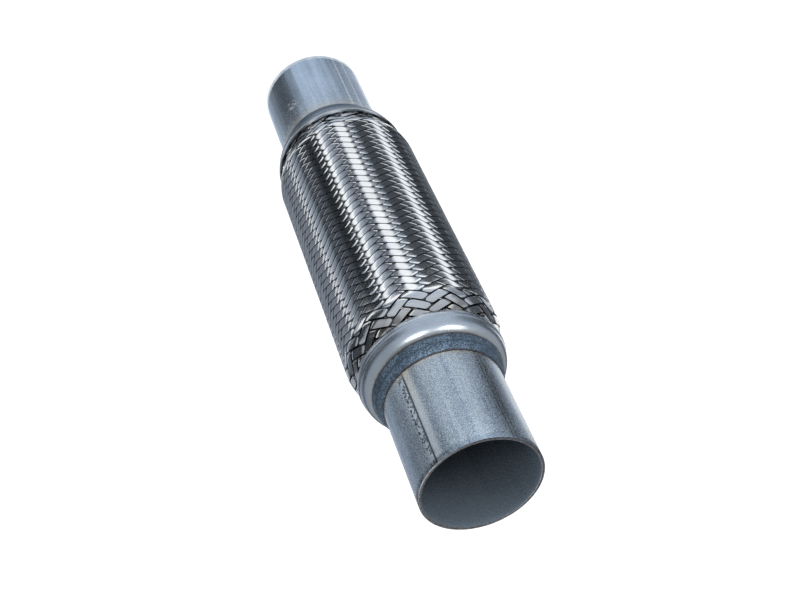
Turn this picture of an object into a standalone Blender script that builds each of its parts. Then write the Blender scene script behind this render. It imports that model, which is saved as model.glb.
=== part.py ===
"""Exhaust flex pipe: a braided bellows section between two plain pipe ends.

The pipe stands on its lower mouth, with +Z along its axis and the origin in the middle of that mouth.
Everything is in metres. Each end is built once, mouth down, and the upper end is the same turned over.
From the axis outwards an end holds the nipple, the bellows' cuff, the end cap's neck and the braid,
and a weld bead closes the nipple to the cuff and the neck.
"""

import math

import bmesh
import bpy
from mathutils import Matrix

# The whole pipe
OVERALL_LENGTH = 0.300
SEAT_GAP = 0.0003
WELD_DISTANCE = 0.00002

# Pipe ends
NIPPLE_DIAMETER = 0.054
NIPPLE_WALL = 0.0015
NIPPLE_FREE_LENGTH = 0.0515
NIPPLE_INSERTION = 0.0145

# Weld beads, each a sloping band between its nipple and its cap
BEAD_LENGTH = 0.0075
BEAD_TOE_HEIGHT = 0.0009
BEAD_BULGE = 0.0004
BEAD_OVER_NECK = 0.0005

# End caps, pressed from sheet
CAP_SHEET = 0.0010
CAP_NECK_LENGTH = 0.0006
CAP_SHOULDER_HEIGHT = 0.0052
CAP_SHOULDER_LENGTH = 0.0054
CAP_LIP_LENGTH = 0.0042
CAP_SHOULDER_STEPS = 3

# Braid, flat strips laid both ways round, each passing over two and under two
BRAID_BULGE = 0.0015
BRAID_SHOULDER_LENGTH = 0.014
BRAID_WALL = 0.0006
BRAID_RELIEF = 0.0011
STRIPS_EACH_WAY = 24
ROW_PITCH = 0.0055
END_STRETCH = 0.006
STRETCH_POWER = 6
GAP_WIDTH = 0.0019
GAP_HEIGHT = 0.0027
GAP_ROW = 1
GAP_SIDES = 4
FEWEST_ROWS = 2
CUTTER_OVERRUN = 0.002

# Bellows, one corrugated sheet under the braid
BELLOWS_SHEET = 0.0004
BELLOWS_CUFF_LENGTH = 0.009
BELLOWS_ROOT_STEP = 0.0013
BELLOWS_CRESTS = 8

# Interlock liner, a wound strip whose turns step out and hook behind each other
LINER_STEP = 0.00075
LINER_SHEET = 0.0005
LINER_RIB_HEIGHT = 0.0007
LINER_PLAIN_END = 0.004
LINER_TURNS = 8

# Sides of the turned pieces
OUTER_SIDES = 32
INNER_SIDES = 16
BRAID_BORE_SIDES = STRIPS_EACH_WAY

SMOOTH_ANGLE = math.radians(35)


def inside(radius, sides):
    """Largest radius that fits within a ring of flat sides, with the seat gap left over."""
    return radius * math.cos(math.pi / sides) - SEAT_GAP


def around(radius, sides):
    """Corner radius of the smallest ring of flat sides that goes round a radius and its seat gap."""
    return (radius + SEAT_GAP) / math.cos(math.pi / sides)


# Radii, from the nipple outwards. Each follows from the one inside it, so they all grow with the pipe.
nipple_radius = NIPPLE_DIAMETER / 2
nipple_bore = nipple_radius - NIPPLE_WALL
liner_bore = nipple_bore + LINER_STEP
cuff_inner = around(nipple_radius, INNER_SIDES)
cuff_outer = cuff_inner + BELLOWS_SHEET
bellows_root = cuff_outer + BELLOWS_ROOT_STEP
neck_inner = around(cuff_outer, OUTER_SIDES)
neck_outer = neck_inner + CAP_SHEET
lip_outer = neck_outer + CAP_SHOULDER_HEIGHT
braid_radius = lip_outer + BRAID_BULGE
braid_bore = braid_radius - BRAID_RELIEF - BRAID_WALL
braid_lip_radius = inside(lip_outer - CAP_SHEET, OUTER_SIDES)

# Heights, from the mouth of an end to the middle of the pipe
middle = OVERALL_LENGTH / 2
bead_top = NIPPLE_FREE_LENGTH + BEAD_LENGTH
cap_bottom = bead_top + SEAT_GAP
shoulder_bottom = cap_bottom + CAP_NECK_LENGTH
shoulder_top = shoulder_bottom + CAP_SHOULDER_LENGTH
lip_top = shoulder_top + CAP_LIP_LENGTH
nipple_top = NIPPLE_FREE_LENGTH + NIPPLE_INSERTION


def shoulder_point(turn, inset):
    """Point on the cap's quarter-round shoulder, from 0 at the neck to a quarter turn at the lip."""
    across = lip_outer - neck_outer - inset
    along = CAP_SHOULDER_LENGTH - inset
    return neck_outer + across * math.sin(turn), shoulder_top - along * math.cos(turn)


def smooth(share):
    """Eases from 0 to 1 with no slope at either end."""
    share = min(max(share, 0.0), 1.0)
    return share * share * (3 - 2 * share)


def material(name, colour, roughness, metallic):
    made = bpy.data.materials.new(name)
    made.use_nodes = True
    shader = made.node_tree.nodes["Principled BSDF"]
    shader.inputs["Base Color"].default_value = (*colour, 1.0)
    shader.inputs["Roughness"].default_value = roughness
    shader.inputs["Metallic"].default_value = metallic
    return made


def turned(name, profile, sides, finish, closed=True, sheet=0.0):
    """Turns a profile of (radius, height) points round +Z. It starts at the outer top and runs down.
    An open profile is the outer face of a sheet, which then gets its thickness inwards."""
    count = len(profile)
    edges = [(i, (i + 1) % count) for i in range(count if closed else count - 1)]
    line = bpy.data.meshes.new(name + "_profile")
    line.from_pydata([(radius, 0, height) for radius, height in profile], edges, [])
    shape = bpy.data.objects.new(name, line)
    parts.objects.link(shape)
    screw = shape.modifiers.new("turn", "SCREW")
    screw.axis = "Z"
    screw.angle = math.tau
    screw.steps = screw.render_steps = sides
    screw.use_merge_vertices = True
    screw.merge_threshold = WELD_DISTANCE
    if sheet:
        wall = shape.modifiers.new("sheet", "SOLIDIFY")
        wall.thickness = sheet
        wall.offset = -1
        wall.use_even_offset = True
    solid = bpy.data.meshes.new_from_object(shape.evaluated_get(bpy.context.evaluated_depsgraph_get()))
    shape.modifiers.clear()
    shape.data = solid
    bpy.data.meshes.remove(line)
    dress(solid, name, finish)
    return shape


def dress(mesh, name, finish):
    """Names a finished mesh, shades its round faces smooth and gives it its material."""
    mesh.name = name
    mesh.shade_smooth()
    mesh.set_sharp_from_angle(angle=SMOOTH_ANGLE)
    mesh.materials.clear()
    mesh.materials.append(finish)


def nipple(name, finish):
    """Plain pipe end, from its mouth to its inner end inside the bellows' cuff."""
    profile = [
        (nipple_radius, nipple_top),
        (nipple_radius, 0),
        (nipple_bore, 0),
        (nipple_bore, nipple_top),
    ]
    return turned(name, profile, OUTER_SIDES, finish)


def weld_bead(name, finish):
    """Sloping band of weld metal on the nipple, which ends flush under the cuff and the neck."""
    seat = around(nipple_radius, OUTER_SIDES)
    toe = seat + BEAD_TOE_HEIGHT
    top = neck_outer + BEAD_OVER_NECK
    half_way = ((toe + top) / 2 + BEAD_BULGE, NIPPLE_FREE_LENGTH + BEAD_LENGTH / 2)
    profile = [
        (top, bead_top),
        half_way,
        (toe, NIPPLE_FREE_LENGTH),
        (seat, NIPPLE_FREE_LENGTH),
        (seat, bead_top),
    ]
    return turned(name, profile, OUTER_SIDES, finish)


def end_cap(name, finish):
    """Pressed ring: a short neck round the cuff, a round shoulder and a lip over the braid's end."""
    quarter = math.pi / 2
    turns = [quarter * i / CAP_SHOULDER_STEPS for i in range(CAP_SHOULDER_STEPS, -1, -1)]
    profile = [(lip_outer, lip_top)]
    profile += [shoulder_point(turn, 0) for turn in turns]
    profile.append((neck_outer, cap_bottom))
    return turned(name, profile, OUTER_SIDES, finish, closed=False, sheet=CAP_SHEET)


def bellows(name, finish):
    """Gas-tight corrugated sleeve, with a plain cuff at each end round the nipple."""
    crest = inside(braid_bore, BRAID_BORE_SIDES)
    cuff_end = cap_bottom + BELLOWS_CUFF_LENGTH
    first_crest = lip_top + BRAID_SHOULDER_LENGTH
    pitch = (OVERALL_LENGTH - 2 * first_crest) / (BELLOWS_CRESTS - 1)
    profile = [(cuff_outer, OVERALL_LENGTH - cap_bottom), (cuff_outer, OVERALL_LENGTH - cuff_end)]
    for fold in range(BELLOWS_CRESTS):
        height = OVERALL_LENGTH - first_crest - fold * pitch
        profile.append((bellows_root, height + pitch / 2))
        profile.append((crest, height))
    profile.append((bellows_root, first_crest - pitch / 2))
    profile.append((cuff_outer, cuff_end))
    profile.append((cuff_outer, cap_bottom))
    return turned(name, profile, INNER_SIDES, finish, closed=False, sheet=BELLOWS_SHEET)


def interlock_liner(name, finish):
    """Flexible inner hose between the two nipples. Each turn steps out and tapers back to the next."""
    plain = liner_bore + LINER_SHEET
    rib = plain + LINER_RIB_HEIGHT
    bottom = nipple_top + SEAT_GAP
    top = OVERALL_LENGTH - bottom
    pitch = (top - bottom - 2 * LINER_PLAIN_END) / LINER_TURNS
    profile = [(plain, top)]
    for turn in range(LINER_TURNS):
        start = top - LINER_PLAIN_END - turn * pitch
        profile.append((plain, start))
        profile.append((rib, start - LINER_SHEET))
    profile.append((plain, bottom + LINER_PLAIN_END))
    profile.append((plain, bottom))
    profile.append((liner_bore, bottom))
    profile.append((liner_bore, top))
    return turned(name, profile, INNER_SIDES, finish)


# The weave's own units: one across is the distance between strips of one lay round the pipe, and one
# up is the distance between them along it. A float is the stretch of a strip that lies on top.
woven_length = OVERALL_LENGTH - 2 * lip_top
woven_rows = max(FEWEST_ROWS, round((woven_length - 2 * END_STRETCH) / ROW_PITCH))
row_pitch = (woven_length - 2 * END_STRETCH) / woven_rows
UNIT = 1.0
half_float_shares = (0.5, 0.5)
half_strip_shares = (0.25, 0.25)
float_place_shares = ((0.25, -0.25, -1), (1.25, 0.25, 1))
ring_match_share = 0.25


def weave_height(row):
    """Height of a row. The rows lie closest in the middle and open out towards the caps."""
    from_middle = row - woven_rows / 2
    reach = from_middle / (woven_rows / 2)
    if abs(reach) <= 1:
        stretch = END_STRETCH * math.copysign(abs(reach) ** STRETCH_POWER, reach)
        return middle + from_middle * row_pitch + stretch
    hidden = (abs(from_middle) - woven_rows / 2) * (lip_top - braid_end()[1])
    return middle + math.copysign(woven_length / 2 + hidden, from_middle)


def braid_end():
    """Radius and height of the braid's outer edge, tucked behind the cap's shoulder."""
    turn = math.pi / 2 * (CAP_SHOULDER_STEPS - 1) / CAP_SHOULDER_STEPS
    radius, height = shoulder_point(turn, CAP_SHEET + SEAT_GAP)
    return radius * math.cos(math.pi / OUTER_SIDES), height


def braid_surface(height, lift):
    """Radius of the braid at a height, where lift is 0 between strips and 1 on top of a strip."""
    from_mouth = min(height, OVERALL_LENGTH - height)
    past_lip = from_mouth - lip_top
    if past_lip >= 0:
        rise = (braid_radius - braid_lip_radius) * smooth(past_lip / BRAID_SHOULDER_LENGTH)
        relief = BRAID_RELIEF * smooth(past_lip / (row_pitch + END_STRETCH / 2))
        return braid_lip_radius + rise - relief * (1 - lift)
    end_radius, end_height = braid_end()
    share = min(max((shoulder_top - from_mouth) / (shoulder_top - end_height), 0), 1)
    return braid_lip_radius + (end_radius - braid_lip_radius) * share


def braid_bore_stations():
    """Radius and height of the braid's inner face, from the bottom to the top."""
    end_radius, end_height = braid_end()
    half_way = lip_top + BRAID_SHOULDER_LENGTH / 2
    full = lip_top + BRAID_SHOULDER_LENGTH
    stations = [
        (end_radius - BRAID_WALL, end_height),
        (braid_lip_radius - BRAID_WALL, lip_top),
        (braid_surface(half_way, 0) - BRAID_WALL, half_way),
        (braid_bore, full),
    ]
    return stations + [(radius, OVERALL_LENGTH - height) for radius, height in reversed(stations)]


def lay_float(mesh, across, up, lay):
    """Adds one float to the flat weave, as two cells in a row, sloping up for lay 1 and down for -1."""
    half_float = (half_float_shares[0], lay * half_float_shares[1])
    half_strip = (-lay * half_strip_shares[0], half_strip_shares[1])
    place = Matrix.Identity(4)
    place.col[0][:2] = half_float
    place.col[1][:2] = half_strip
    place.col[3][:2] = (across, up)
    bmesh.ops.create_grid(mesh, x_segments=2, y_segments=1, size=UNIT, matrix=place)


def raise_ridges(mesh):
    """Raises each float to a ridge along its strip."""
    between_cells = [edge for edge in mesh.edges if len(edge.link_faces) == 2]
    bmesh.ops.poke(mesh, faces=mesh.faces[:], offset=UNIT, center_mode="MEAN", use_relative_offset=False)
    bmesh.ops.rotate_edges(mesh, edges=between_cells, use_ccw=False)


def roll_up(mesh):
    """Rolls the flat weave round the pipe and joins its two sides."""
    for corner in mesh.verts:
        across, row, lift = corner.co
        turn = math.tau * across / STRIPS_EACH_WAY
        height = weave_height(row)
        radius = braid_surface(height, lift)
        corner.co = (radius * math.cos(turn), radius * math.sin(turn), height)
    bmesh.ops.remove_doubles(mesh, verts=mesh.verts[:], dist=WELD_DISTANCE)


def extend_ring(mesh, edges, radius, height):
    """Extrudes a ring of edges to a ring of flat sides at a radius and a height."""
    grown = bmesh.ops.extrude_edge_only(mesh, edges=edges)["geom"]
    corners = [item for item in grown if isinstance(item, bmesh.types.BMVert)]
    step = math.tau / BRAID_BORE_SIDES
    for corner in corners:
        turn = math.atan2(corner.co.y, corner.co.x)
        side = math.floor(turn / step + ring_match_share)
        corner.co = (radius * math.cos(side * step), radius * math.sin(side * step), height)
    bmesh.ops.remove_doubles(mesh, verts=corners, dist=WELD_DISTANCE)
    ring = {corner for corner in corners if corner.is_valid}
    return [edge for edge in mesh.edges if set(edge.verts) <= ring]


def line_bore(mesh):
    """Closes the woven sheet to a wall, with its ends and a plain inner face."""
    stations = braid_bore_stations()
    open_edges = [edge for edge in mesh.edges if len(edge.link_faces) == 1]
    low = [edge for edge in open_edges if edge.verts[0].co.z < middle]
    ring = [edge for edge in open_edges if edge.verts[0].co.z > middle]
    extend_ring(mesh, low, *stations[0])
    for radius, height in reversed(stations):
        ring = extend_ring(mesh, ring, radius, height)
    bmesh.ops.remove_doubles(mesh, verts=mesh.verts[:], dist=WELD_DISTANCE)
    bmesh.ops.recalc_face_normals(mesh, faces=mesh.faces[:])


def gap_cutters(name):
    """Small upright diamonds through the wall, where the strips part beside the caps."""
    mesh = bmesh.new()
    depth = 2 * (BRAID_WALL + BRAID_RELIEF + CUTTER_OVERRUN)
    outwards = Matrix.Rotation(math.pi / 2, 4, "Y")
    shape = Matrix.Diagonal((GAP_HEIGHT / 2, GAP_WIDTH / 2, depth, 1))
    for row in (GAP_ROW, woven_rows - GAP_ROW):
        height = weave_height(row)
        radius = braid_surface(height, 1)
        for strip in range(STRIPS_EACH_WAY):
            turn = Matrix.Rotation(math.tau * (strip + half_float_shares[0]) / STRIPS_EACH_WAY, 4, "Z")
            place = turn @ Matrix.Translation((radius, 0, height)) @ outwards @ shape
            bmesh.ops.create_cone(
                mesh,
                cap_ends=True,
                segments=GAP_SIDES,
                radius1=UNIT,
                radius2=UNIT,
                depth=UNIT,
                matrix=place,
            )
    data = bpy.data.meshes.new(name)
    mesh.to_mesh(data)
    mesh.free()
    cutter = bpy.data.objects.new(name, data)
    cutters.objects.link(cutter)
    cutter.hide_render = True
    cutter.display_type = "WIRE"
    return cutter


def outer_braid(name, finish):
    """Woven sleeve: a herringbone of floats round the pipe, with its ends held under the caps' lips."""
    mesh = bmesh.new()
    for row in range(woven_rows + 1):
        for pair in range(STRIPS_EACH_WAY // 2):
            for across, up, lay in float_place_shares:
                lay_float(mesh, 2 * pair + across, row + up, lay)
    raise_ridges(mesh)
    roll_up(mesh)
    line_bore(mesh)
    data = bpy.data.meshes.new(name)
    mesh.to_mesh(data)
    mesh.free()
    dress(data, name, finish)
    braid = bpy.data.objects.new(name, data)
    parts.objects.link(braid)
    gaps = braid.modifiers.new("gaps", "BOOLEAN")
    gaps.operation = "DIFFERENCE"
    gaps.solver = "EXACT"
    gaps.object = gap_cutters(name + "_gaps")
    return braid


def turned_over(lower, name, pivot):
    """The same piece at the other end, carried by the pivot in the middle of the flexible length."""
    upper = bpy.data.objects.new(name, lower.data)
    parts.objects.link(upper)
    upper.parent = pivot
    upper.location = (0, 0, OVERALL_LENGTH - middle)
    upper.rotation_euler = (math.pi, 0, 0)
    return upper


for leftover in list(bpy.data.objects):
    bpy.data.objects.remove(leftover)
parts = bpy.data.collections.new("exhaust_flex_pipe")
cutters = bpy.data.collections.new("cutters")
bpy.context.scene.collection.children.link(parts)
bpy.context.scene.collection.children.link(cutters)

flex_pivot = bpy.data.objects.new("flex_pivot", None)
flex_pivot.location = (0, 0, middle)
parts.objects.link(flex_pivot)

pipe_steel = material("coated_pipe_steel", (0.42, 0.48, 0.55), 0.45, 0.9)
bead_steel = material("coated_weld_metal", (0.22, 0.28, 0.36), 0.7, 0.6)
cap_steel = material("satin_cap_steel", (0.60, 0.62, 0.64), 0.3, 1.0)
strip_steel = material("bright_strip_steel", (0.55, 0.55, 0.54), 0.28, 1.0)
bellows_steel = material("bellows_steel", (0.58, 0.57, 0.55), 0.35, 1.0)
liner_steel = material("liner_steel", (0.50, 0.50, 0.50), 0.4, 1.0)

for maker, kind, finish in (
    (nipple, "nipple", pipe_steel),
    (weld_bead, "weld_bead", bead_steel),
    (end_cap, "end_cap", cap_steel),
):
    turned_over(maker("lower_" + kind, finish), "upper_" + kind, flex_pivot)
bellows("bellows", bellows_steel)
interlock_liner("interlock_liner", liner_steel)
outer_braid("outer_braid", strip_steel)
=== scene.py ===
import math
import bmesh
import bpy
from mathutils import Matrix, Vector, noise


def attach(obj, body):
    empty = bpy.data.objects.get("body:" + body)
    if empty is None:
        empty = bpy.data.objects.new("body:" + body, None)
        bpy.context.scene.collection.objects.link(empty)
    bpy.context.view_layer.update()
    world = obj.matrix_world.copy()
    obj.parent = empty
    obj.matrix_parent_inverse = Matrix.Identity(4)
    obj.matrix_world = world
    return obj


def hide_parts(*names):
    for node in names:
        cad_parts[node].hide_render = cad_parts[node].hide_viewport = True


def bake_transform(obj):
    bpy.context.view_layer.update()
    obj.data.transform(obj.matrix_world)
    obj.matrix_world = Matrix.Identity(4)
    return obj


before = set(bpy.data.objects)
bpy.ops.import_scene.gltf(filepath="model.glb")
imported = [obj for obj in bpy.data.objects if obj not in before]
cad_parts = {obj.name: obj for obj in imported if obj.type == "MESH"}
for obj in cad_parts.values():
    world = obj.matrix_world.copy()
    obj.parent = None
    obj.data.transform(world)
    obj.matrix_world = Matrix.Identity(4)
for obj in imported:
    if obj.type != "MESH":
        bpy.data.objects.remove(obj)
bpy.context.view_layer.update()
pipeLength = 0.3
pipeRadius = 0.027
middleHeight = pipeLength / 2
facing = -76.6  # degrees round the pipe that point at the camera; the photo's left is a larger angle
print("frame loaded")


# small helpers

def keepMesh(bm, name, material, smoothAngle=40):
    bmesh.ops.remove_doubles(bm, verts=bm.verts[:], dist=1e-6)
    bmesh.ops.recalc_face_normals(bm, faces=bm.faces[:])
    mesh = bpy.data.meshes.new(name)
    bm.to_mesh(mesh)
    bm.free()
    mesh.shade_smooth()
    mesh.set_sharp_from_angle(angle=math.radians(smoothAngle))
    mesh.materials.append(material)
    piece = bpy.data.objects.new(name, mesh)
    bpy.context.scene.collection.objects.link(piece)
    return piece


def spinProfile(bm, points, steps):
    # points are (radius, height), a closed section that becomes a ring about +Z
    verts = [bm.verts.new((radius, 0, height)) for radius, height in points]
    edges = [bm.edges.new(pair) for pair in zip(verts, verts[1:] + verts[:1])]
    bmesh.ops.spin(bm, geom=verts + edges, cent=(0, 0, 0), axis=(0, 0, 1), angle=math.tau,
                   steps=steps, use_merge=True)


def roundedLine(points, turns):
    # cuts the corners of an open line, as a smooth pressed section has
    for _ in range(turns):
        cut = [points[0]]
        for (r0, h0), (r1, h1) in zip(points, points[1:]):
            cut.append((r0 * 0.75 + r1 * 0.25, h0 * 0.75 + h1 * 0.25))
            cut.append((r0 * 0.25 + r1 * 0.75, h0 * 0.25 + h1 * 0.75))
        cut.append(points[-1])
        points = cut
    return points


def turnOver(bm):
    # the upper end is the lower one turned over
    halfTurn = Matrix.Rotation(math.pi, 3, "X")
    bmesh.ops.rotate(bm, verts=bm.verts[:], cent=(0, 0, middleHeight), matrix=halfTurn)


def smoothStep(share):
    share = min(max(share, 0), 1)
    return share * share * (3 - 2 * share)


# shader building

def link(tree, source, target):
    tree.links.new(source, target)


def addNode(tree, kind, **values):
    node = tree.nodes.new(kind)
    for key, value in values.items():
        setattr(node, key, value)
    return node


def mathNode(tree, operation, first, second=None, third=None, clamp=False):
    node = addNode(tree, "ShaderNodeMath", operation=operation, use_clamp=clamp)
    for socket, value in zip(node.inputs, (first, second, third)):
        if value is None:
            continue
        if isinstance(value, (int, float)):
            socket.default_value = value
        else:
            link(tree, value, socket)
    return node.outputs[0]


def scaled(tree, value, factor, clamp=False):
    return mathNode(tree, "MULTIPLY", value, factor, clamp=clamp)


def mixColour(tree, share, low, high):
    node = addNode(tree, "ShaderNodeMix", data_type="RGBA", blend_type="MIX")
    for socket, value in ((node.inputs[0], share), (node.inputs[6], low), (node.inputs[7], high)):
        if isinstance(value, tuple):
            socket.default_value = (*value, 1)
        else:
            link(tree, value, socket)
    return node.outputs[2]


def tinted(tree, mask, amount, colour, tint):
    return mixColour(tree, scaled(tree, mask, amount), colour, tint)


def ramp(tree, source, stops):
    node = addNode(tree, "ShaderNodeValToRGB")
    while len(node.color_ramp.elements) < len(stops):
        node.color_ramp.elements.new(0.5)
    for element, (place, shade) in zip(node.color_ramp.elements, stops):
        element.position = place
        element.color = (shade, shade, shade, 1)
    link(tree, source, node.inputs[0])
    return node.outputs[0]


def noiseNode(tree, vector, scale, detail):
    node = addNode(tree, "ShaderNodeTexNoise")
    node.inputs["Scale"].default_value = scale
    node.inputs["Detail"].default_value = detail
    node.inputs["Roughness"].default_value = 0.55
    link(tree, vector, node.inputs["Vector"])
    return node.outputs["Fac"]


def stretched(tree, vector, scale, location=(0, 0, 0)):
    node = addNode(tree, "ShaderNodeMapping")
    node.inputs["Scale"].default_value = scale
    node.inputs["Location"].default_value = location
    link(tree, vector, node.inputs["Vector"])
    return node.outputs[0]


def newGroup(name, inputs, outputs):
    tree = bpy.data.node_groups.new(name, "ShaderNodeTree")
    for label, kind, value in inputs:
        socket = tree.interface.new_socket(label, in_out="INPUT", socket_type=kind)
        if value is not None:
            socket.default_value = value
    for label, kind in outputs:
        tree.interface.new_socket(label, in_out="OUTPUT", socket_type=kind)
    return tree, tree.nodes.new("NodeGroupInput").outputs, tree.nodes.new("NodeGroupOutput").inputs


def useGroup(tree, group, **values):
    node = addNode(tree, "ShaderNodeGroup", node_tree=group)
    for key, value in values.items():
        socket = node.inputs[key]
        if isinstance(value, (int, float)):
            socket.default_value = value
        else:
            link(tree, value, socket)
    return node.outputs


# where a point is on the pipe: arc length round it, distance from its axis and from its middle
pipePlace, given, made = newGroup(
    "pipePlace",
    [("Object", "NodeSocketVector", None), ("Degrees", "NodeSocketFloat", 0.0)],
    [("Arc", "NodeSocketFloat"), ("Radius", "NodeSocketFloat"), ("FromMiddle", "NodeSocketFloat"),
     ("Unrolled", "NodeSocketVector")])
turnZero = addNode(pipePlace, "ShaderNodeVectorRotate", rotation_type="Z_AXIS")
link(pipePlace, given["Object"], turnZero.inputs["Vector"])
link(pipePlace, scaled(pipePlace, given["Degrees"], -math.pi / 180), turnZero.inputs["Angle"])
split = addNode(pipePlace, "ShaderNodeSeparateXYZ")
link(pipePlace, turnZero.outputs[0], split.inputs[0])
turnAngle = mathNode(pipePlace, "ARCTAN2", split.outputs[1], split.outputs[0])
arcLength = scaled(pipePlace, turnAngle, pipeRadius)
link(pipePlace, arcLength, made["Arc"])
squares = [mathNode(pipePlace, "MULTIPLY", split.outputs[i], split.outputs[i]) for i in (0, 1)]
link(pipePlace, mathNode(pipePlace, "SQRT", mathNode(pipePlace, "ADD", *squares)), made["Radius"])
aboveMiddle = mathNode(pipePlace, "SUBTRACT", split.outputs[2], middleHeight)
link(pipePlace, mathNode(pipePlace, "ABSOLUTE", aboveMiddle), made["FromMiddle"])
flat = addNode(pipePlace, "ShaderNodeCombineXYZ")
link(pipePlace, arcLength, flat.inputs[0])
link(pipePlace, split.outputs[2], flat.inputs[1])
link(pipePlace, flat.outputs[0], made["Unrolled"])

# fine grey speckle of a coated sheet, with wide soft clouds
coatMottle, given, made = newGroup(
    "coatMottle",
    [("Object", "NodeSocketVector", None), ("Grain", "NodeSocketFloat", 1500.0),
     ("Clouds", "NodeSocketFloat", 60.0)],
    [("Speckle", "NodeSocketFloat"), ("Cloud", "NodeSocketFloat")])
for label, size, stops in (("Speckle", "Grain", ((0.40, 0.0), (0.62, 1.0))),
                           ("Cloud", "Clouds", ((0.36, 0.0), (0.64, 1.0)))):
    texture = addNode(coatMottle, "ShaderNodeTexNoise")
    texture.inputs["Detail"].default_value = 4
    link(coatMottle, given["Object"], texture.inputs["Vector"])
    link(coatMottle, given[size], texture.inputs["Scale"])
    link(coatMottle, ramp(coatMottle, texture.outputs["Fac"], stops), made[label])

# thin band of heat colour either side of a height from the middle, with a wandering edge
heatBand, given, made = newGroup(
    "heatBand",
    [("Object", "NodeSocketVector", None), ("FromMiddle", "NodeSocketFloat", 0.0),
     ("Place", "NodeSocketFloat", 0.1), ("Width", "NodeSocketFloat", 0.001),
     ("Wander", "NodeSocketFloat", 0.0004)],
    [("Mask", "NodeSocketFloat")])
wanderTexture = addNode(heatBand, "ShaderNodeTexNoise")
wanderTexture.inputs["Scale"].default_value = 420
wanderTexture.inputs["Detail"].default_value = 3
link(heatBand, given["Object"], wanderTexture.inputs["Vector"])
centred = mathNode(heatBand, "SUBTRACT", wanderTexture.outputs["Fac"], 0.5)
wandered = mathNode(heatBand, "MULTIPLY", centred, given["Wander"])
moved = mathNode(heatBand, "ADD", given["FromMiddle"], wandered)
away = mathNode(heatBand, "ABSOLUTE", mathNode(heatBand, "SUBTRACT", moved, given["Place"]))
share = mathNode(heatBand, "DIVIDE", away, given["Width"])
softened = mathNode(heatBand, "SMOOTH_MIN", share, 1.0, 0.3)
link(heatBand, mathNode(heatBand, "SUBTRACT", 1.0, softened, clamp=True), made["Mask"])

# a straight line along the pipe, such as a seam or a scratch
alongLine, given, made = newGroup(
    "alongLine",
    [("Arc", "NodeSocketFloat", 0.0), ("Offset", "NodeSocketFloat", 0.0),
     ("Width", "NodeSocketFloat", 0.0005)],
    [("Mask", "NodeSocketFloat")])
offLine = mathNode(alongLine, "ABSOLUTE", mathNode(alongLine, "SUBTRACT", given["Arc"], given["Offset"]))
share = mathNode(alongLine, "DIVIDE", offLine, given["Width"])
link(alongLine, mathNode(alongLine, "SUBTRACT", 1.0, share, clamp=True), made["Mask"])


def heatMask(tree, place, spot, height, width, wander):
    band = useGroup(tree, heatBand, Object=place, FromMiddle=spot["FromMiddle"], Place=height,
                    Width=width, Wander=wander)
    return band["Mask"]


def lineMask(tree, arc, offset, width):
    return useGroup(tree, alongLine, Arc=arc, Offset=offset, Width=width)["Mask"]


def newMaterial(name):
    material = bpy.data.materials.new(name)
    material.use_nodes = True
    tree = material.node_tree
    shader = tree.nodes["Principled BSDF"]
    place = addNode(tree, "ShaderNodeTexCoord").outputs["Object"]
    return material, tree, shader, place


def addBump(tree, shader, height, strength, distance):
    bump = addNode(tree, "ShaderNodeBump")
    bump.inputs["Strength"].default_value = strength
    bump.inputs["Distance"].default_value = distance
    link(tree, height, bump.inputs["Height"])
    link(tree, bump.outputs[0], shader.inputs["Normal"])


# pipe ends

nippleSizes = dict(
    radius=pipeRadius, wall=0.0015, length=0.066, sides=160, rows=22, rimBevel=0.00022,
    burr=0.00007, burrReach=0.0005, burrWaves=9)
nippleLooks = dict(
    low=(0.072, 0.100, 0.135), high=(0.66, 0.77, 0.875), metallic=0.9,
    streak=(0.58, 0.65, 0.72), tan=(0.60, 0.55, 0.42), brown=(0.10, 0.06, 0.035), mark=(0.025, 0.03, 0.04),
    scoredGlint=(0.80, 0.84, 0.88), scratchGlint=(0.80, 0.83, 0.86), heated=(0.44, 0.40, 0.33),
    # the near-black deep bore colour is painted shade
    boreOpen=(0.20, 0.255, 0.315), boreDeepShade=(0.010, 0.011, 0.016),
    rim=(0.13, 0.14, 0.15), rimSpeck=(0.09, 0.045, 0.02),
    cloudShare=0.12, bandShare=0.26, visibleLength=0.052, heatHeight=0.0988, brownHeight=0.0985,
    boreMetal=-0.55, speckleRough=0.08, rimFrom=0.14985)
# places of lines are offset along the arc, then width
nearPipeLooks = dict(
    seamDegrees=facing + 27.5, sideDegrees=facing - 45, grain=1900.0, speckle=0.44, pale=0.10, rough=0.24,
    heatWidth=0.0026, waver=0.0004, streakLine=(-0.0021, 0.0024), seamLine=(0.0002, 0.00055),
    nearRow=(0.0013, 0.0014), farRow=(0.0027, 0.0008), sideLines=((0.0, 0.0004), (-0.0020, 0.0004)),
    markScale=900)
farPipeLooks = dict(
    seamDegrees=facing + 150, sideDegrees=facing - 41, grain=900.0, speckle=0.10, pale=0.36, rough=0.20,
    heatWidth=0.0080, waver=0.0006, seamLine=(0.0, 0.0003), sideLines=((0.0, 0.0007), (-0.0057, 0.0007)),
    scratchPlace=(0.0325, 0.0335, 0), scratchReach=0.0030, bareMetal=-0.7)


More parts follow.
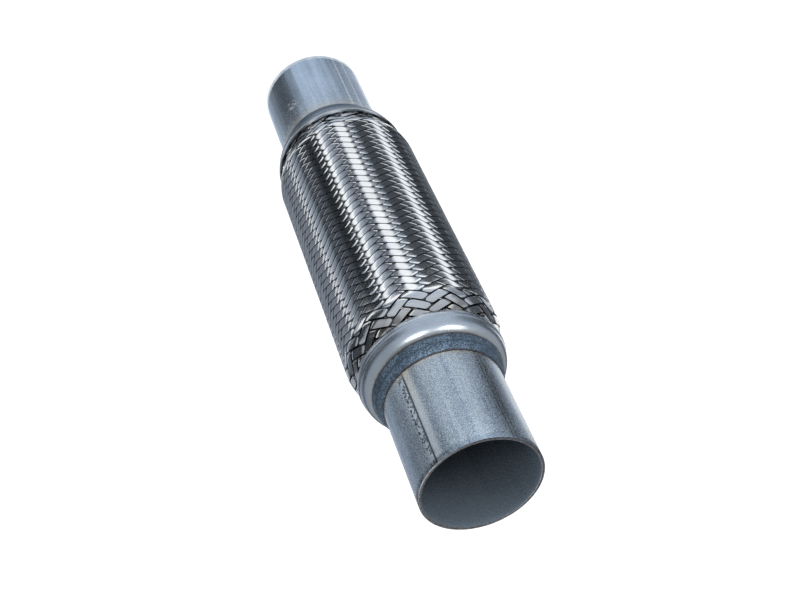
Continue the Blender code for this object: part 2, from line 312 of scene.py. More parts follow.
def drawRolledSeam(tree, spot, side, wander, nearWeld, colour):
    # the tube's own seam: a pale rolled streak, a dark line and two rows of marks; then two thin side lines
    looks, own = nippleLooks, nearPipeLooks
    streak = scaled(tree, lineMask(tree, spot["Arc"], *own["streakLine"]), 1.5, clamp=True)
    streakColour = mixColour(tree, mathNode(tree, "POWER", nearWeld, 2.5), looks["streak"], looks["tan"])
    colour = tinted(tree, streak, 0.45, colour, streakColour)
    wavy = mathNode(tree, "MULTIPLY_ADD", wander, own["waver"], spot["Arc"])
    seam = scaled(tree, lineMask(tree, wavy, *own["seamLine"]), 2.2, clamp=True)
    marks = addNode(tree, "ShaderNodeTexVoronoi", feature="F1")
    marks.inputs["Scale"].default_value = own["markScale"]
    link(tree, spot["Unrolled"], marks.inputs["Vector"])
    dots = ramp(tree, marks.outputs["Distance"], ((0.42, 1.0), (0.56, 0.0)))
    nearRow = mathNode(tree, "GREATER_THAN", lineMask(tree, spot["Arc"], *own["nearRow"]), 0.05)
    farRow = scaled(tree, lineMask(tree, wavy, *own["farRow"]), 2.5, clamp=True)
    rows = mathNode(tree, "MAXIMUM", scaled(tree, nearRow, 0.8), farRow)
    seam = mathNode(tree, "MAXIMUM", seam, mathNode(tree, "MULTIPLY", dots, rows))
    colour = tinted(tree, seam, 0.9, colour, looks["mark"])
    for line in own["sideLines"]:
        colour = tinted(tree, lineMask(tree, side["Arc"], *line), 0.8, colour, looks["mark"])
    return colour, seam


def drawScoredLines(tree, spot, side, place, wander, colour):
    # a thin seam, two pale lines along the tube and one small starry scratch: scratches where the coat is
    # off, their paleness partly a painted glint
    looks, own = nippleLooks, farPipeLooks
    seam = lineMask(tree, spot["Arc"], *own["seamLine"])
    colour = tinted(tree, seam, 0.8, colour, looks["mark"])
    wavy = mathNode(tree, "MULTIPLY_ADD", wander, own["waver"], side["Arc"])
    paleLines = []
    for line in own["sideLines"]:
        pale = scaled(tree, lineMask(tree, wavy, *line), 0.7)
        colour = mixColour(tree, pale, colour, looks["scoredGlint"])
        paleLines.append(pale)
    fromScratch = addNode(tree, "ShaderNodeVectorMath", operation="DISTANCE")
    link(tree, side["Unrolled"], fromScratch.inputs[0])
    fromScratch.inputs[1].default_value = own["scratchPlace"]
    reach = mathNode(tree, "DIVIDE", fromScratch.outputs["Value"], own["scratchReach"])
    close = mathNode(tree, "SUBTRACT", 1.5, reach, clamp=True)
    streaks = ramp(tree, noiseNode(tree, place, 700, 3), ((0.48, 0.0), (0.58, 1.0)))
    scratch = mathNode(tree, "MULTIPLY", close, streaks)
    colour = mixColour(tree, scratch, colour, looks["scratchGlint"])
    bare = mathNode(tree, "MAXIMUM", mathNode(tree, "MAXIMUM", *paleLines), scratch)
    return colour, seam, bare


def pipeEndMaterial(name, own):
    material, tree, shader, place = newMaterial(name)
    looks = nippleLooks
    spot = useGroup(tree, pipePlace, Object=place, Degrees=own["seamDegrees"])
    side = useGroup(tree, pipePlace, Object=place, Degrees=own["sideDegrees"])
    mottle = useGroup(tree, coatMottle, Object=place, Grain=own["grain"], Clouds=60.0)
    drawnOut = stretched(tree, spot["Unrolled"], (1, 0.05, 1))
    bands = ramp(tree, noiseNode(tree, drawnOut, 210, 3), ((0.34, 0.0), (0.66, 1.0)))
    bands = scaled(tree, bands, looks["bandShare"])
    tone = mathNode(tree, "MULTIPLY_ADD", mottle["Cloud"], looks["cloudShare"], bands)
    tone = mathNode(tree, "MULTIPLY_ADD", mottle["Speckle"], own["speckle"], tone)
    tone = mathNode(tree, "ADD", tone, own["pale"], clamp=True)
    colour = mixColour(tree, tone, looks["low"], looks["high"])
    wander = noiseNode(tree, place, 700, 2)
    fromMouth = mathNode(tree, "SUBTRACT", middleHeight, spot["FromMiddle"])
    nearWeld = mathNode(tree, "DIVIDE", fromMouth, looks["visibleLength"], clamp=True)
    near = own is nearPipeLooks
    if near:
        colour, seam = drawRolledSeam(tree, spot, side, wander, nearWeld, colour)
    else:
        colour, seam, bare = drawScoredLines(tree, spot, side, place, wander, colour)
    # heat colour beside the weld
    heat = heatMask(tree, place, spot, looks["heatHeight"], own["heatWidth"], 0.0010)
    colour = tinted(tree, heat, 0.5, colour, looks["heated"])
    thinHeat = heatMask(tree, place, spot, looks["brownHeight"], 0.0004, 0.0009)
    colour = tinted(tree, thinHeat, 0.9, colour, looks["brown"])
    # the bore is duller, and painted shade darkens it with depth
    bore = mathNode(tree, "LESS_THAN", spot["Radius"], nippleSizes["radius"] - nippleSizes["wall"] * 0.8)
    boreColour = mixColour(tree, mathNode(tree, "POWER", nearWeld, 0.7), looks["boreOpen"], looks["boreDeepShade"])
    colour = tinted(tree, bore, 0.9, colour, boreColour)
    # cut edge of the mouth, dark with brown specks
    rim = mathNode(tree, "GREATER_THAN", spot["FromMiddle"], looks["rimFrom"])
    specks = ramp(tree, noiseNode(tree, place, 800, 2), ((0.56, 0.0), (0.62, 1.0)))
    colour = mixColour(tree, rim, colour, mixColour(tree, specks, looks["rim"], looks["rimSpeck"]))
    link(tree, colour, shader.inputs["Base Color"])
    metal = mathNode(tree, "MULTIPLY_ADD", bore, looks["boreMetal"], looks["metallic"])
    # the scored lines are made less metallic, so their pale colour shows as a painted glint
    if not near:
        coated = mathNode(tree, "MULTIPLY_ADD", bare, own["bareMetal"], 1.0)
        metal = mathNode(tree, "MULTIPLY", metal, coated)
    link(tree, metal, shader.inputs["Metallic"])
    rough = mathNode(tree, "MULTIPLY_ADD", mottle["Speckle"], looks["speckleRough"], own["rough"])
    link(tree, rough, shader.inputs["Roughness"])
    height = mathNode(tree, "MULTIPLY_ADD", seam, -1.2, scaled(tree, mottle["Speckle"], 0.3))
    addBump(tree, shader, height, 0.3, 0.00004)
    return material


def makePipeEnd(name, node, body, material, upper):
    sizes = nippleSizes
    bm = bmesh.new()
    outer, bore = sizes["radius"], sizes["radius"] - sizes["wall"]
    heights = [sizes["length"] * i / sizes["rows"] for i in range(sizes["rows"] + 1)]
    section = [(outer, h) for h in heights] + [(bore, h) for h in reversed(heights)]
    spinProfile(bm, section, sizes["sides"])
    rims = [e for e in bm.edges if all(abs(v.co.z) < 1e-6 for v in e.verts)
            and abs(e.verts[0].co.xy.length - e.verts[1].co.xy.length) < 1e-6]
    bmesh.ops.bevel(bm, geom=rims, offset=sizes["rimBevel"], offset_type="OFFSET", segments=2, profile=0.5,
                    affect="EDGES", material=-1)
    for v in bm.verts:  # the saw leaves the mouth slightly uneven
        if v.co.z < sizes["burrReach"]:
            turn = math.atan2(v.co.y, v.co.x)
            waves = sizes["burrWaves"]
            rough = noise.noise(Vector((math.cos(turn) * waves, math.sin(turn) * waves, 3.7)))
            v.co.z += sizes["burr"] * max(rough, 0)
    if upper:
        turnOver(bm)
    piece = keepMesh(bm, name, material)
    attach(piece, body)
    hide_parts(node)


nearPipeSteel = pipeEndMaterial("nearPipeSteel", nearPipeLooks)
farPipeSteel = pipeEndMaterial("farPipeSteel", farPipeLooks)
makePipeEnd("nearPipeEnd", "upper_nipple", "upper_end", nearPipeSteel, True)
makePipeEnd("farPipeEnd", "lower_nipple", "lower_end", farPipeSteel, False)
print("pipe ends made")


# weld beads

beadSizes = dict(
    seat=0.02702, toe=0.0278, halfWay=0.02935, top=0.03012, start=0.0515, toeHeight=0.00045, end=0.0590,
    sides=300, ripple=0.00009, edgeWander=0.00050, edgeReach=0.0030)
beadLooks = dict(
    # the far bead's darker colour and lower metallic are painted shade
    low=(0.036, 0.054, 0.078), nearHigh=(0.215, 0.31, 0.415), farShadedHigh=(0.085, 0.135, 0.205),
    nearMetallic=0.6, farMetallic=0.1, roughness=0.45, ridge=(0.03, 0.045, 0.065), ridgeHeight=0.0948,
    edge=(0.06, 0.04, 0.028), edgeHeights=(0.0911, 0.0984))


def weldMaterial(name, high, metallic):
    material, tree, shader, place = newMaterial(name)
    looks = beadLooks
    spot = useGroup(tree, pipePlace, Object=place, Degrees=0.0)
    mottle = useGroup(tree, coatMottle, Object=place, Grain=1700.0, Clouds=200.0)
    clouds = mathNode(tree, "MULTIPLY_ADD", mottle["Cloud"], 0.6, 0.4)
    colour = mixColour(tree, mathNode(tree, "MULTIPLY", mottle["Speckle"], clouds), looks["low"], high)
    ridge = heatMask(tree, place, spot, looks["ridgeHeight"], 0.0007, 0.0020)
    colour = tinted(tree, ridge, 0.6, colour, looks["ridge"])
    for edgeHeight in looks["edgeHeights"]:
        heat = heatMask(tree, place, spot, edgeHeight, 0.0005, 0.0010)
        colour = tinted(tree, heat, 0.95, colour, looks["edge"])
    link(tree, colour, shader.inputs["Base Color"])
    shader.inputs["Metallic"].default_value = metallic
    shader.inputs["Roughness"].default_value = looks["roughness"]
    grit = mathNode(tree, "ADD", mottle["Speckle"], scaled(tree, mottle["Cloud"], 0.8))
    addBump(tree, shader, grit, 0.5, 0.00010)
    return material


def makeWeldBead(name, node, body, material, upper):
    sizes = beadSizes
    bm = bmesh.new()
    face = roundedLine([(sizes["seat"], sizes["start"]), (sizes["toe"], sizes["start"] + sizes["toeHeight"]),
                        (sizes["halfWay"], (sizes["start"] + sizes["end"]) / 2),
                        (sizes["top"], sizes["end"])], 2)
    spinProfile(bm, face + [(sizes["seat"], sizes["end"])], sizes["sides"])
    for v in bm.verts:
        across, turn = v.co.xy.length, math.atan2(v.co.y, v.co.x)
        if across < sizes["seat"] + 0.00005 and v.co.z > sizes["start"] + 0.001:
            continue  # the seat on the pipe stays round
        ring = Vector((math.cos(turn), math.sin(turn), 0))
        rise = noise.noise(ring * 40 + Vector((0, 0, v.co.z * 700 + (5 if upper else 0))))
        v.co += ring * rise * sizes["ripple"]
        low = 1 - smoothStep((v.co.z - sizes["start"]) / sizes["edgeReach"])
        v.co.z += low * sizes["edgeWander"] * abs(noise.noise(ring * 13 + Vector((0, 0, 9 if upper else 2))))
    if upper:
        turnOver(bm)
    piece = keepMesh(bm, name, material, 60)
    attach(piece, body)
    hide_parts(node)


nearWeldMetal = weldMaterial("nearWeldMetal", beadLooks["nearHigh"], beadLooks["nearMetallic"])
# the far bead is a darker, less metallic copy of the near one: painted shade
farWeldMetal = weldMaterial("farWeldMetal", beadLooks["farShadedHigh"], beadLooks["farMetallic"])
makeWeldBead("nearWeldBead", "upper_weld_bead", "upper_end", nearWeldMetal, True)
makeWeldBead("farWeldBead", "lower_weld_bead", "lower_end", farWeldMetal, False)
print("weld beads made")


# pressed end caps

capSizes = dict(
    sheet=0.0010, sides=192, neckInner=0.0287, lipTop=0.0695,
    outerLine=((0.02967, 0.0593), (0.03000, 0.0595), (0.03100, 0.0601), (0.03210, 0.0612),
               (0.03290, 0.0627), (0.03335, 0.0643), (0.03352, 0.0654), (0.03368, 0.0661),
               (0.03400, 0.0668), (0.03415, 0.0677), (0.03415, 0.0687), (0.03396, 0.0695)))
# heat lines are width, amount and colour; the blued heights are from the middle
capLooks = dict(
    low=(0.36, 0.41, 0.46), high=(0.58, 0.63, 0.68),
    blueLow=(0.045, 0.078, 0.125), blueHigh=(0.11, 0.18, 0.27),
    nearBluedTo=0.0908, farBluedTo=0.0836, bluedFade=0.0004, bluedMetal=-0.85, smooth=0.20, brushed=0.16,
    heatLines=((0.0026, 0.5, (0.50, 0.48, 0.40)), (0.0006, 0.9, (0.08, 0.05, 0.03))))


def capMaterial(name, bluedTo):
    material, tree, shader, place = newMaterial(name)
    looks = capLooks
    spot = useGroup(tree, pipePlace, Object=place, Degrees=0.0)
    mottle = useGroup(tree, coatMottle, Object=place, Grain=900.0, Clouds=55.0)
    rings = noiseNode(tree, stretched(tree, spot["Unrolled"], (0.05, 1, 1)), 3200, 3)
    tone = mathNode(tree, "ADD", scaled(tree, mottle["Cloud"], 0.45), scaled(tree, rings, 0.55), clamp=True)
    colour = mixColour(tree, tone, looks["low"], looks["high"])
    # blued by the weld's heat as far as a height from the middle, with a brown line where that ends
    fromMiddle = mathNode(tree, "MULTIPLY_ADD", noiseNode(tree, place, 420, 3), 0.0006, spot["FromMiddle"])
    pastEdge = mathNode(tree, "SUBTRACT", fromMiddle, bluedTo)
    blued = mathNode(tree, "DIVIDE", pastEdge, looks["bluedFade"], clamp=True)
    blueTone = mixColour(tree, mottle["Speckle"], looks["blueLow"], looks["blueHigh"])
    colour = mixColour(tree, blued, colour, blueTone)
    for width, amount, tint in looks["heatLines"]:
        heat = heatMask(tree, place, spot, bluedTo, width, 0.0008)
        heat = mathNode(tree, "MULTIPLY", heat, mathNode(tree, "MULTIPLY_ADD", blued, -0.5, 1.0))
        colour = tinted(tree, heat, amount, colour, tint)
    link(tree, colour, shader.inputs["Base Color"])
    link(tree, mathNode(tree, "MULTIPLY_ADD", blued, looks["bluedMetal"], 1.0), shader.inputs["Metallic"])
    rough = mathNode(tree, "ADD", looks["smooth"], scaled(tree, rings, looks["brushed"]))
    link(tree, rough, shader.inputs["Roughness"])
    addBump(tree, shader, rings, 0.25, 0.00003)
    return material


def makeEndCap(name, node, body, material, upper):
    sizes = capSizes
    bm = bmesh.new()
    outer = roundedLine(list(sizes["outerLine"]), 1)
    inner = []
    for i, (radius, height) in enumerate(outer):
        before, after = outer[max(i - 1, 0)], outer[min(i + 1, len(outer) - 1)]
        run = Vector((after[0] - before[0], after[1] - before[1])).normalized()
        inner.append((radius - run.y * sizes["sheet"], height + run.x * sizes["sheet"]))
    inner = [(max(radius, sizes["neckInner"]), min(height, sizes["lipTop"])) for radius, height in inner]
    spinProfile(bm, outer + list(reversed(inner)), sizes["sides"])
    if upper:
        turnOver(bm)
    piece = keepMesh(bm, name, material, 50)
    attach(piece, body)
    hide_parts(node)


nearCapSteel = capMaterial("nearCapSteel", capLooks["nearBluedTo"])
makeEndCap("nearEndCap", "upper_end_cap", "upper_end", nearCapSteel, True)
farCapSteel = capMaterial("farCapSteel", capLooks["farBluedTo"])
makeEndCap("farEndCap", "lower_end_cap", "lower_end", farCapSteel, False)
print("end caps made")


# braid of flat strips

braidSizes = dict(
    radius=0.03672, lipRadius=0.03350, lipTop=capSizes["lipTop"], shoulder=0.0135, strips=24, rows=33,
    stripWidth=0.0039, stripThickness=0.00030, lift=0.00032, squareness=3.2, flatten=0.00014,
    edgeDrop=0.00004, stepsPerRow=8, bunch=0.6, across=6, hiddenRows=0.5, loose=0.00026, narrowed=0.17,
    capReach=0.020, capLift=0.35, sway=0.010, inset=0.00008, rowRun=0.0105)
braidLooks = dict(
    # the near-black colour is painted shade for the strips' dives and edges, and painted shadow beside the
    # cap's lip
    low=(0.52, 0.55, 0.58), high=(0.82, 0.85, 0.87), warm=(0.40, 0.355, 0.29), paintedShade=(0.006, 0.008, 0.012),
    warmFrom=0.066, warmOver=0.016, lipFrom=0.0790, lipOver=0.0015, brushRough=0.06, polished=0.11,
    underRough=0.4)
rowPitch = (pipeLength - 2 * braidSizes["lipTop"]) / braidSizes["rows"]


def rowHeight(row):
    return braidSizes["lipTop"] + row * rowPitch


def sleeveRadius(height):
    sizes = braidSizes
    past = min(height, pipeLength - height) - sizes["lipTop"]
    return sizes["lipRadius"] + (sizes["radius"] - sizes["lipRadius"]) * smoothStep(past / sizes["shoulder"])


def layStrips(lay):
    # each strip starts as a flat grid: x is the row along it, y runs from -1 to 1 across it, z is its number
    sizes = braidSizes
    bm = bmesh.new()
    run = bm.loops.layers.uv.new("stripRun")
    edgeShare = bm.verts.layers.float.new("stripEdge")
    upShare = bm.verts.layers.float.new("stripUp")
    firstRow, lastRow = -sizes["hiddenRows"], sizes["rows"] + sizes["hiddenRows"]
    steps = round((lastRow - firstRow) * sizes["stepsPerRow"])
    middleRow, halfRows = (firstRow + lastRow) / 2, (lastRow - firstRow) / 2
    stepAngle = math.tau / sizes["strips"]
    diveRow = 0.75 if lay > 0 else 0.25  # where in each row a strip goes over or under
    for strip in range(sizes["strips"]):
        place = Matrix.Translation((middleRow, 0, strip)) @ Matrix.Diagonal((halfRows, 1, 1, 1))
        bmesh.ops.create_grid(bm, x_segments=steps, y_segments=sizes["across"], size=1, matrix=place)
    for face in bm.faces:
        for loop in face.loops:
            row, side, strip = loop.vert.co
            loop[run].uv = (row * sizes["rowRun"], strip + 0.5 + 0.45 * side)
    for v in bm.verts:
        row, side, strip = v.co
        strip = round(strip)
        side = math.sin(side * math.pi / 2)
        # the edge weight, heavier on one side, lowers the strips' edges and also sets painted shade along
        # them
        v[edgeShare] = abs(side) ** 3 * (1.0 if lay * side > 0 else 0.6)
        row -= sizes["bunch"] * math.sin(math.tau * (row - diveRow)) / math.tau
        arc = sleeveRadius(rowHeight(row)) * stepAngle
        # from one strip to the next, square to their length
        spacing = arc * rowPitch / math.hypot(arc, rowPitch)
        pastLip = min(rowHeight(row), pipeLength - rowHeight(row)) - sizes["lipTop"]
        nearCap = 1 - smoothStep(pastLip / sizes["capReach"])
        offset = side * sizes["stripWidth"] * (1 - sizes["narrowed"] * nearCap) / 2 / spacing
        height = rowHeight(row - lay * offset / 2)
        turn = (strip + lay * row + offset / 2) * stepAngle
        # over two of the other lay's strips, under two: 0 is the middle of a stretch on top, 1 of one below
        phase = row - ((0.25 + (strip + 1) % 2) if lay > 0 else (strip % 2 - 0.25))
        wave = math.tanh(sizes["squareness"] * math.cos(math.pi * phase)) / math.tanh(sizes["squareness"])
        fromMiddle = (phase + 0.5) % 1 - 0.5
        v[upShare] = wave
        seed = Vector((strip * 2.3, row * 0.55, 4.1 * lay))
        wobble = noise.noise(seed) * sizes["loose"] * (0.25 + 0.75 * nearCap)
        lifted = wave * sizes["lift"] * (1 + sizes["capLift"] * nearCap)
        lifted = lifted + sizes["flatten"] * (4 * fromMiddle ** 2 - 1) - sizes["edgeDrop"] * v[edgeShare]
        envelope = sleeveRadius(height) - sizes["lift"] * (1 + sizes["capLift"])
        envelope = envelope - sizes["stripThickness"] / 2 - sizes["inset"]
        turn += nearCap * noise.noise(seed * 0.7 + Vector((7, 0, 0))) * sizes["sway"]
        reachOut = envelope + lifted + wobble
        v.co = (reachOut * math.cos(turn), reachOut * math.sin(turn), height)
    bmesh.ops.recalc_face_normals(bm, faces=bm.faces[:])
    level = Vector((1, 1, 0))
    inwards = [face for face in bm.faces if face.normal.dot(face.calc_center_median() * level) < 0]
    bmesh.ops.reverse_faces(bm, faces=inwards)
    bmesh.ops.solidify(bm, geom=bm.faces[:], thickness=sizes["stripThickness"])
    return bm


def stripMaterial(name, seed):
    material, tree, shader, place = newMaterial(name)
    looks = braidLooks
    run = addNode(tree, "ShaderNodeUVMap", uv_map="stripRun").outputs[0]
    split = addNode(tree, "ShaderNodeSeparateXYZ")
    link(tree, run, split.inputs[0])
    stripNumber = mathNode(tree, "FLOOR", split.outputs[1])
    own = addNode(tree, "ShaderNodeTexWhiteNoise", noise_dimensions="1D")
    link(tree, mathNode(tree, "ADD", stripNumber, seed), own.inputs["W"])
    ownShade = own.outputs["Value"]
    brush = noiseNode(tree, stretched(tree, run, (40, 7, 1), (0, seed, 0)), 1.0, 2)
    spot = useGroup(tree, pipePlace, Object=place, Degrees=0.0)
    patches = noiseNode(tree, place, 120, 2)
    tone = mathNode(tree, "ADD", scaled(tree, brush, 0.5), scaled(tree, ownShade, 0.3))
    tone = mathNode(tree, "ADD", tone, scaled(tree, patches, 0.3), clamp=True)
    colour = mixColour(tree, tone, looks["low"], looks["high"])
    # warmer towards the caps, some strips more than others
    pastWarm = mathNode(tree, "SUBTRACT", spot["FromMiddle"], looks["warmFrom"])
    shoulder = mathNode(tree, "DIVIDE", pastWarm, looks["warmOver"], clamp=True)
    warmth = mathNode(tree, "ADD", 0.30, scaled(tree, ownShade, 0.6))
    colour = mixColour(tree, mathNode(tree, "MULTIPLY", shoulder, warmth), colour, looks["warm"])
    # painted shade where a strip dives under and on its sheared edges, and painted shadow beside the cap's
    # lip
    up = addNode(tree, "ShaderNodeAttribute", attribute_name="stripUp").outputs["Fac"]
    edge = addNode(tree, "ShaderNodeAttribute", attribute_name="stripEdge").outputs["Fac"]
    down = mathNode(tree, "MULTIPLY_ADD", up, -0.5, 0.5)
    under = ramp(tree, down, ((0.22, 0.0), (0.55, 1.0)))
    corner = mathNode(tree, "MULTIPLY_ADD", down, 2.6, scaled(tree, edge, 0.85))
    corner = ramp(tree, corner, ((0.84, 0.0), (0.98, 1.0)))
    paintedShade = mathNode(tree, "MAXIMUM", under, scaled(tree, corner, 0.92))
    pastLip = mathNode(tree, "SUBTRACT", spot["FromMiddle"], looks["lipFrom"])
    lip = mathNode(tree, "DIVIDE", pastLip, looks["lipOver"], clamp=True)
    paintedShade = mathNode(tree, "MAXIMUM", paintedShade, scaled(tree, lip, 0.9))
    colour = mixColour(tree, paintedShade, colour, looks["paintedShade"])
    link(tree, colour, shader.inputs["Base Color"])
    shader.inputs["Metallic"].default_value = 1.0
    rough = mathNode(tree, "MULTIPLY_ADD", brush, looks["brushRough"], looks["polished"])
    rough = mathNode(tree, "MULTIPLY_ADD", under, looks["underRough"], rough)
    link(tree, rough, shader.inputs["Roughness"])
    addBump(tree, shader, brush, 0.12, 0.00002)
    return material


for name, lay in (("risingStrips", 1), ("fallingStrips", -1)):
    strips = keepMesh(layStrips(lay), name, stripMaterial(name + "Steel", 3.0 + lay), 30)
    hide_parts("outer_braid")
    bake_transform(strips)
print("braid made")


# bellows under the braid

bellowsSizes = dict(
    cuff=0.02823, root=0.02955, crest=0.0338, folds=25, start=0.0593, cuffEnd=0.0700,
    firstFold=0.0760, sheet=0.0004, sides=72,
    foldShape=((0.14, 0.12), (0.30, 0.85), (0.50, 1.0), (0.70, 0.85), (0.86, 0.12), (1.0, 0.0)))
bellowsLooks = dict(low=(0.30, 0.29, 0.27), high=(0.50, 0.48, 0.45), rough=0.3)


def thinSteel(name, looks):
    material, tree, shader, place = newMaterial(name)
    mottle = useGroup(tree, coatMottle, Object=place, Grain=600.0, Clouds=90.0)
    colour = mixColour(tree, mottle["Cloud"], looks["low"], looks["high"])
    link(tree, colour, shader.inputs["Base Color"])
    shader.inputs["Metallic"].default_value = 1.0
    rough = mathNode(tree, "ADD", looks["rough"], scaled(tree, mottle["Speckle"], 0.12))
    link(tree, rough, shader.inputs["Roughness"])
    addBump(tree, shader, mottle["Speckle"], 0.2, 0.00003)
    return material


def makeBellows():
    sizes = bellowsSizes
    bm = bmesh.new()
    first, last = sizes["firstFold"], pipeLength - sizes["firstFold"]
    pitch = (last - first) / sizes["folds"]
    line = [(sizes["cuff"], sizes["start"]), (sizes["cuff"], sizes["cuffEnd"]), (sizes["root"], first)]
    for fold in range(sizes["folds"]):
        bottom = first + fold * pitch
        for share, rise in sizes["foldShape"]:
            line.append((sizes["root"] + (sizes["crest"] - sizes["root"]) * rise, bottom + share * pitch))
    line += [(sizes["cuff"], pipeLength - sizes["cuffEnd"]), (sizes["cuff"], pipeLength - sizes["start"])]
    inner = [(radius - sizes["sheet"], height) for radius, height in reversed(line)]
    spinProfile(bm, line + inner, sizes["sides"])
    return bm


bellows = keepMesh(makeBellows(), "foldedBellows", thinSteel("foldedSheetSteel", bellowsLooks), 50)
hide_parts("bellows")
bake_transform(bellows)
print("bellows made")


# interlock liner

# the section's points are out from the bore, then up as a share of one turn's pitch
linerSizes = dict(
    bore=0.02628, turns=27, start=0.0666, stepsPerTurn=40, endTurns=1.3, endGap=0.03,
    section=((0.0, 0.0), (0.0, 0.72), (0.00045, 0.80), (0.00045, 1.22), (0.00085, 1.22), (0.00085, 0.70),
             (0.00030, 0.62), (0.00030, 0.10), (0.00085, 0.08), (0.00085, -0.02), (0.00045, -0.02)))
linerLooks = dict(low=(0.34, 0.34, 0.34), high=(0.55, 0.55, 0.54), rough=0.28)


def makeLiner():
    # one S-shaped section wound up the pipe
    sizes = linerSizes
    bm = bmesh.new()
    length = pipeLength - 2 * sizes["start"]
    pitch = length / (sizes["turns"] + sizes["endTurns"])
    points = [(sizes["bore"] + out, sizes["start"] + (sizes["endGap"] + up) * pitch)
              for out, up in sizes["section"]]
    verts = [bm.verts.new((radius, 0, height)) for radius, height in points]
    section = bm.faces.new(verts)
    end = bmesh.ops.duplicate(bm, geom=[section])["geom"]
    steps = sizes["turns"] * sizes["stepsPerTurn"]
    bmesh.ops.spin(bm, geom=list(section.verts) + list(section.edges), cent=(0, 0, 0), axis=(0, 0, 1),
                   angle=math.tau * sizes["turns"], dvec=(0, 0, pitch * sizes["turns"] / steps), steps=steps)
    lastFaces = [f for f in end if isinstance(f, bmesh.types.BMFace)]
    bmesh.ops.translate(bm, verts=lastFaces[0].verts[:], vec=(0, 0, pitch * sizes["turns"]))
    return bm


liner = keepMesh(makeLiner(), "woundLiner", thinSteel("woundStripSteel", linerLooks), 35)
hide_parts("interlock_liner")
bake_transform(liner)
print("liner made")


# floor, backdrop and lamps

studio = dict(
    floorSize=4.0, floorColour=(0.86, 0.86, 0.86), floorGlow=0.42, skyLight=0.62,
    lamps=(
        # name, degrees round the pipe, degrees up, distance, size, power
        ("keyLamp", facing + 2, 42, 0.85, 0.24, 1.5),
        ("fillLamp", facing - 52, 38, 0.85, 0.34, 1.5),
        ("topLamp", facing + 150, 62, 0.85, 0.40, 2.0)),
    # a dim room with one wide bright side, which only reflections see: its radius, the degrees round the pipe
    # to the bright side's middle, how bright that side, the rest and the ceiling are, and where the side ends
    roomRadius=1.0, roomTurn=facing - 25, roomBright=0.80, roomDim=0.52, ceiling=0.60,
    brightTo=0.24, dimFrom=0.38, roomTint=(0.90, 0.97, 1.08),
    # cards on the floor that only reflections see. Each lies where one stretch of the pipe mirrors it to the
    # camera. A stretch has a radius and two heights on the pipe. A card has two angles round the pipe,
    # where 0 faces the camera and the photo's right is positive, and its brightness
    cardHeight=0.002, cardTint=(0.87, 0.97, 1.13),
    stretches=dict(farPipe=(pipeRadius, 0.0005, 0.0515), braid=(braidSizes["radius"], 0.062, 0.2315),
                   nearPipe=(pipeRadius, 0.2405, 0.300), beyond=(braidSizes["radius"], 0.303, 0.44)),
    cards=dict(
        farPipe=((-90, -71, 0.80), (-71, -58, 0.50), (-58, -47, 0.28), (-47, -40, 0.15), (-40, -27, 0.08),
                 (-27, -22, 0.18), (-22, -12, 0.40),
                 (-12, 22, 0.80), (22, 31, 0.66), (31, 50, 0.46), (50, 63, 0.56), (63, 72, 0.65)),
        braid=((-90, -75, 0.40), (-75, -60, 0.28), (-60, -50, 0.26), (-50, -45, 0.20),
               (-42, -38, 0.45), (-38, -34, 0.32), (-34, -22, 0.09), (-22, -11, 0.03),
               (-6.5, -3, 0.50), (-3, 1, 0.30), (1, 5.2, 0.16), (5.2, 6.6, 0.60), (14.2, 18, 0.40),
               (18, 20.5, 0.28), (20.5, 32.5, 0.08), (32.5, 36, 0.14), (36, 38, 0.30),
               (44, 47, 0.40), (47, 63, 0.06), (63, 75, 0.14), (76, 90, 0.18)),
        nearPipe=((-90, -70, 0.68), (-70, -51, 0.50), (-51, -40, 0.26), (-40, -35, 0.30), (-19, -11, 0.45),
                  (9, 14, 0.75), (29, 38, 0.42), (38, 57, 0.02), (57, 66, 0.62)),
        beyond=((-90, -50, 0.16), (-50, -12, 0.06), (-12, -5, 0.35), (-5, 12, 0.73), (12, 30, 0.77),
                (30, 42, 0.35), (42, 90, 0.12))))
photoView = dict(location=(0.09543, -0.40486, 0.6196), turned=(-41.096, -15.880, 175.743), lens=58.01,
                 sensor=36.0)


def mirroredSpot(radius, height, degrees):
    # where the floor is that the camera sees mirrored in a cylinder at this height and angle round the pipe
    normal = math.radians(facing - degrees)
    spot = Vector((math.cos(normal), math.sin(normal))) * radius
    view = Vector(photoView["location"][:2]) - spot
    bounced = 2 * normal - math.atan2(view.y, view.x)
    away = height * view.length / (photoView["location"][2] - height)
    x, y = spot.x + away * math.cos(bounced), spot.y + away * math.sin(bounced)
    return Vector((x, y, studio["cardHeight"]))


def whiteToEye(tree):
    # 1 for rays from the camera, a mirror or a glass, 0 for light that falls on things
    path = addNode(tree, "ShaderNodeLightPath")
    seen = mathNode(tree, "MAXIMUM", path.outputs["Is Camera Ray"], path.outputs["Is Glossy Ray"])
    return mathNode(tree, "MAXIMUM", seen, path.outputs["Is Transmission Ray"])


def onlyMirrored(bm, name, material):
    thing = keepMesh(bm, name, material)
    thing.visible_camera = False
    thing.visible_shadow = False
    thing.visible_diffuse = False
    thing.visible_transmission = False


def glowMaterial(name, glow):
    material, tree, shader, place = newMaterial(name)
    shader.inputs["Base Color"].default_value = (0, 0, 0, 1)
    shader.inputs["Specular IOR Level"].default_value = 0.0
    shader.inputs["Emission Color"].default_value = (*glow, 1)
    shader.inputs["Emission Strength"].default_value = 1.0
    return material, tree, shader, place


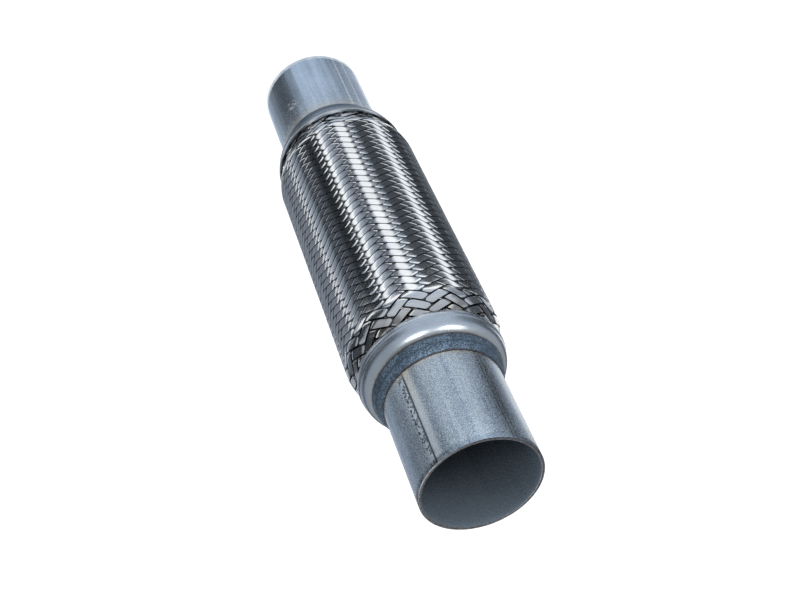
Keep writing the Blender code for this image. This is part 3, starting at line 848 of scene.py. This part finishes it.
def makeRoom():
    material, tree, shader, place = glowMaterial("roomWalls", studio["roomTint"])
    spot = useGroup(tree, pipePlace, Object=place, Degrees=studio["roomTurn"])
    away = mathNode(tree, "DIVIDE", mathNode(tree, "ABSOLUTE", spot["Arc"]), pipeRadius * math.pi)
    sides = ((studio["brightTo"], studio["roomBright"]), (studio["dimFrom"], studio["roomDim"]))
    overhead = mathNode(tree, "LESS_THAN", spot["Radius"], studio["roomRadius"] * 0.5)
    ceiling = mathNode(tree, "MULTIPLY_ADD", overhead, studio["ceiling"] - 1, 1.0)
    level = mathNode(tree, "MULTIPLY", ramp(tree, away, sides), ceiling)
    link(tree, level, shader.inputs["Emission Strength"])
    bm = bmesh.new()
    bmesh.ops.create_uvsphere(bm, u_segments=48, v_segments=24, radius=studio["roomRadius"])
    bmesh.ops.delete(bm, geom=[v for v in bm.verts if v.co.z < -0.001], context="VERTS")
    onlyMirrored(bm, "roomWalls", material)


def makeCards():
    for stretch, cards in studio["cards"].items():
        radius, bottom, top = studio["stretches"][stretch]
        for number, (low, high, shade) in enumerate(cards):
            name = "%sCard%d" % (stretch, number)
            glow = tuple(shade * part for part in studio["cardTint"])
            material = glowMaterial(name, glow)[0]
            bm = bmesh.new()
            bmesh.ops.create_grid(bm, x_segments=4, y_segments=10, size=0.5)
            for v in bm.verts:
                rise, across = v.co.x + 0.5, v.co.y + 0.5
                v.co = mirroredSpot(radius, bottom + (top - bottom) * rise, low + (high - low) * across)
            onlyMirrored(bm, name, material)


def makeStudio():
    scene = bpy.context.scene
    scene.view_settings.view_transform = "Standard"
    world = bpy.data.worlds.new("studioWorld")
    world.use_nodes = True
    scene.world = world
    tree = world.node_tree
    level = scaled(tree, whiteToEye(tree), 1 - studio["skyLight"])
    level = mathNode(tree, "ADD", level, studio["skyLight"])
    link(tree, level, tree.nodes["Background"].inputs["Strength"])
    tree.nodes["Background"].inputs["Color"].default_value = (1, 1, 1, 1)

    floorMaterial = bpy.data.materials.new("paleFloor")
    floorMaterial.use_nodes = True
    tree = floorMaterial.node_tree
    shader = tree.nodes["Principled BSDF"]
    shader.inputs["Base Color"].default_value = (*studio["floorColour"], 1)
    shader.inputs["Roughness"].default_value = 0.9
    shader.inputs["Specular IOR Level"].default_value = 0.0
    shader.inputs["Emission Color"].default_value = (1, 1, 1, 1)
    link(tree, scaled(tree, whiteToEye(tree), studio["floorGlow"]), shader.inputs["Emission Strength"])
    bm = bmesh.new()
    bmesh.ops.create_grid(bm, x_segments=1, y_segments=1, size=studio["floorSize"] / 2)
    keepMesh(bm, "paleFloor", floorMaterial)

    for name, degreesRound, degreesUp, away, size, power in studio["lamps"]:
        lamp = bpy.data.objects.new(name, bpy.data.lights.new(name, "AREA"))
        lamp.data.size = size
        lamp.data.energy = power
        turn, rise = math.radians(degreesRound), math.radians(degreesUp)
        towards = Vector((math.cos(turn) * math.cos(rise), math.sin(turn) * math.cos(rise), math.sin(rise)))
        lamp.location = Vector((0, 0, middleHeight)) + towards * away
        lamp.rotation_euler = towards.to_track_quat("Z", "Y").to_euler()
        scene.collection.objects.link(lamp)


def makeCamera():
    camera = bpy.data.objects.new("photoCamera", bpy.data.cameras.new("photoCamera"))
    camera.data.lens = photoView["lens"]
    camera.data.sensor_width = photoView["sensor"]
    camera.data.clip_start = 0.01
    camera.location = photoView["location"]
    camera.rotation_euler = [math.radians(angle) for angle in photoView["turned"]]
    bpy.context.scene.collection.objects.link(camera)
    bpy.context.scene.camera = camera


makeStudio()
makeRoom()
makeCards()
makeCamera()
print("studio made")
